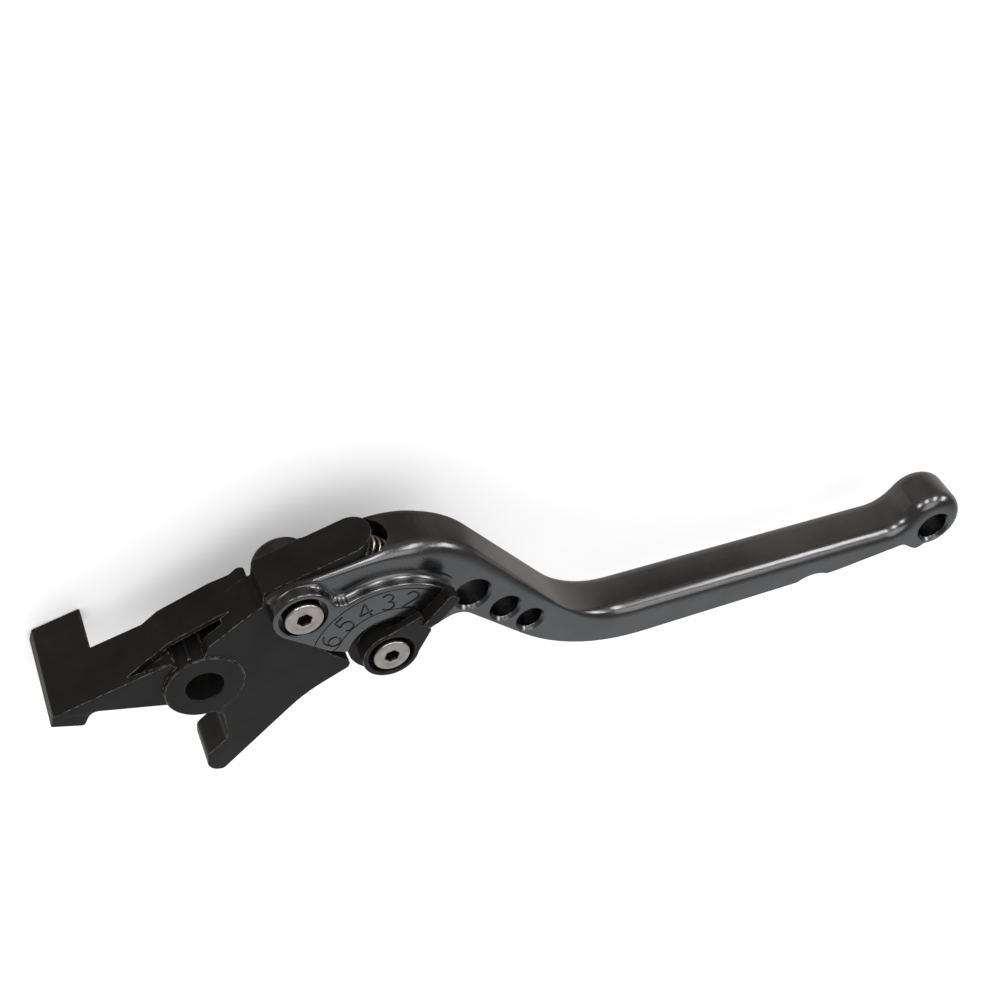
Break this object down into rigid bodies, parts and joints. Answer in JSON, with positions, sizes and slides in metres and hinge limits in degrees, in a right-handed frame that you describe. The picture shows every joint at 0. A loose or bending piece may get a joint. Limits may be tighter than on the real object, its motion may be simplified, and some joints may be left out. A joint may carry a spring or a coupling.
{
  "type": "brake shift lever",
  "caption": "Adjustable hand lever for a brake: a long machined lever body hinged on a pivot bracket, with a numbered cam that sets the reach.",
  "frame": {"origin": "centre of the pivot bore, at mid-height of the lever body", "axes": "+Z is the pivot axis, out of the numbered face; +X runs along the blade towards the tip; +Y is the finger side"},
  "size_m": [0.2134, 0.0564, 0.0331],
  "materials": {
    "grey_anodised": "gunmetal grey anodised, polished",
    "black_anodised": "satin black anodised",
    "bush_brass": "turned",
    "screw_steel": "turned stainless",
    "spring_steel": "drawn wire"
  },
  "bodies": {
    "bracket": {"bracket": "black_anodised", "link_bush": "bush_brass"},
    "lever": {"lever_body": "grey_anodised", "link_screw": "screw_steel", "cam_bush": "screw_steel", "adjuster_screw": "screw_steel", "detent_ball": "spring_steel", "detent_spring": "spring_steel", "return_spring": "spring_steel"},
    "adjuster": {"adjuster_cam": "black_anodised"}
  },
  "joints": [
    {"name": "reach", "type": "hinge", "parent": "bracket", "child": "lever", "pos_m": [0.0209, 0.0169, 0], "axis": [0, 0, 1], "range_deg": [0, 6.9], "deforming": ["return_spring"]},
    {"name": "adjuster", "type": "hinge", "parent": "lever", "child": "adjuster", "pos_m": [0.03805, 0.0008, 0], "axis": [0, 0, 1], "range_deg": [0, 101.5]}
  ],
  "couplings": [
    {"joint": "reach", "follows": "adjuster", "ratio": 0.06798}
  ]
}
